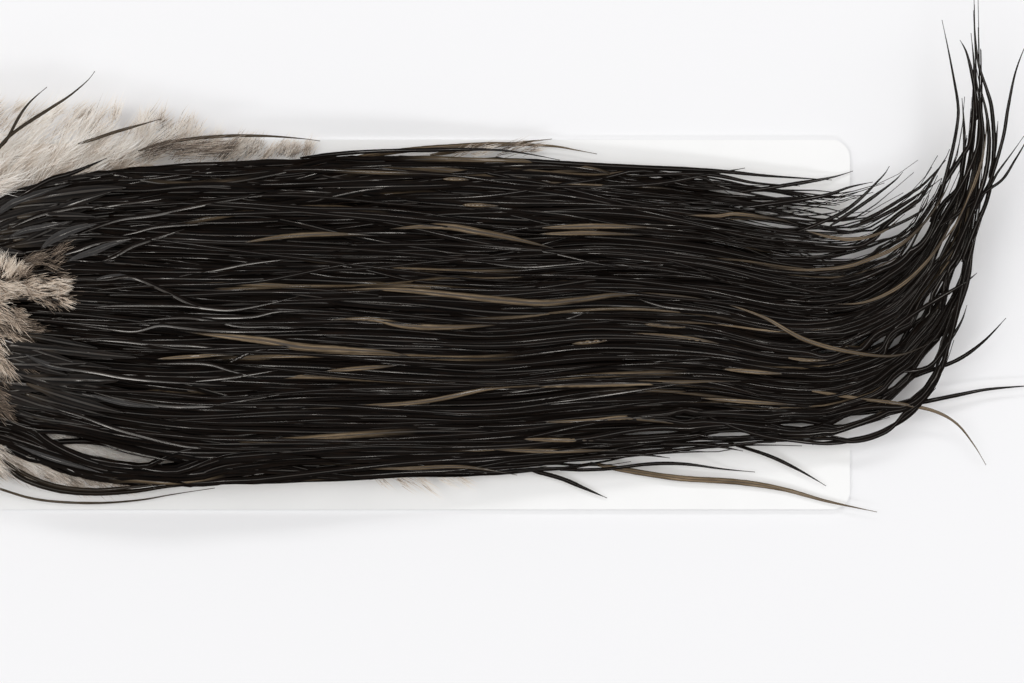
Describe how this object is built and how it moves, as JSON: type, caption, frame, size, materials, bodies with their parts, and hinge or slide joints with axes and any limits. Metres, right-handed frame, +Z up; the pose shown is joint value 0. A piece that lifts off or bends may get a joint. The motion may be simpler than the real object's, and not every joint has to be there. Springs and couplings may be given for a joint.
{
  "type": "rooster saddle hackle",
  "caption": "Dried patch of rooster saddle skin with pale down and long slender black and tan feathers, lying flat on its white backing card.",
  "frame": {"origin": "centre of the backing card's underside", "axes": "+X along the feathers from the head end of the skin to their tips, +Y across them, +Z up from the table through the card"},
  "size_m": [0.3563, 0.144, 0.0205],
  "materials": {
    "black_feather": "glossy",
    "tan_feather": "satin",
    "down": "matte",
    "dried_skin": "matte",
    "card": "matte"
  },
  "bodies": {
    "root": {"backing_card": "card", "skin_patch": "dried_skin", "neck_down": "down", "upper_side_down": "down", "lower_side_down": "down", "under_down": "down", "crown_tuft_upper": "down", "crown_tuft_lower": "down", "back_feather_upper": "black_feather", "back_feather_lower": "black_feather", "hackle_lock_1-1": "black_feather", "hackle_lock_1-2": "black_feather", "hackle_lock_1-3": "black_feather", "hackle_lock_1-4": "black_feather", "hackle_lock_1-5": "black_feather", "hackle_lock_1-6": "black_feather", "hackle_lock_1-7": "black_feather", "hackle_lock_1-8": "black_feather", "hackle_lock_1-9": "black_feather", "hackle_lock_1-10": "tan_feather", "hackle_lock_1-11": "black_feather", "hackle_lock_1-12": "black_feather", "hackle_lock_2-1": "black_feather", "hackle_lock_2-2": "black_feather", "hackle_lock_2-3": "black_feather", "hackle_lock_2-4": "tan_feather", "hackle_lock_2-5": "black_feather", "hackle_lock_2-6": "black_feather", "hackle_lock_2-7": "black_feather", "hackle_lock_2-8": "black_feather", "hackle_lock_2-9": "black_feather", "hackle_lock_2-10": "black_feather", "hackle_lock_2-11": "black_feather", "hackle_lock_2-12": "black_feather", "hackle_lock_3-1": "black_feather", "hackle_lock_3-2": "black_feather", "hackle_lock_3-3": "black_feather", "hackle_lock_3-4": "black_feather", "hackle_lock_3-5": "black_feather", "hackle_lock_3-6": "tan_feather", "hackle_lock_3-7": "black_feather", "hackle_lock_3-8": "black_feather", "hackle_lock_3-9": "tan_feather", "hackle_lock_3-10": "black_feather", "hackle_lock_3-11": "black_feather", "hackle_lock_3-12": "black_feather", "stray_tip_right_high": "black_feather", "stray_tip_right_low": "black_feather", "stray_right_rising": "black_feather", "stray_right_long": "black_feather", "stray_right_falling": "tan_feather", "stray_lower_tan": "tan_feather", "stray_lower_thin": "black_feather", "stray_lower_short": "black_feather", "stray_lower_loop": "black_feather", "stray_upper_tan": "tan_feather", "stray_upper_dark": "black_feather"}
  },
  "joints": []
}
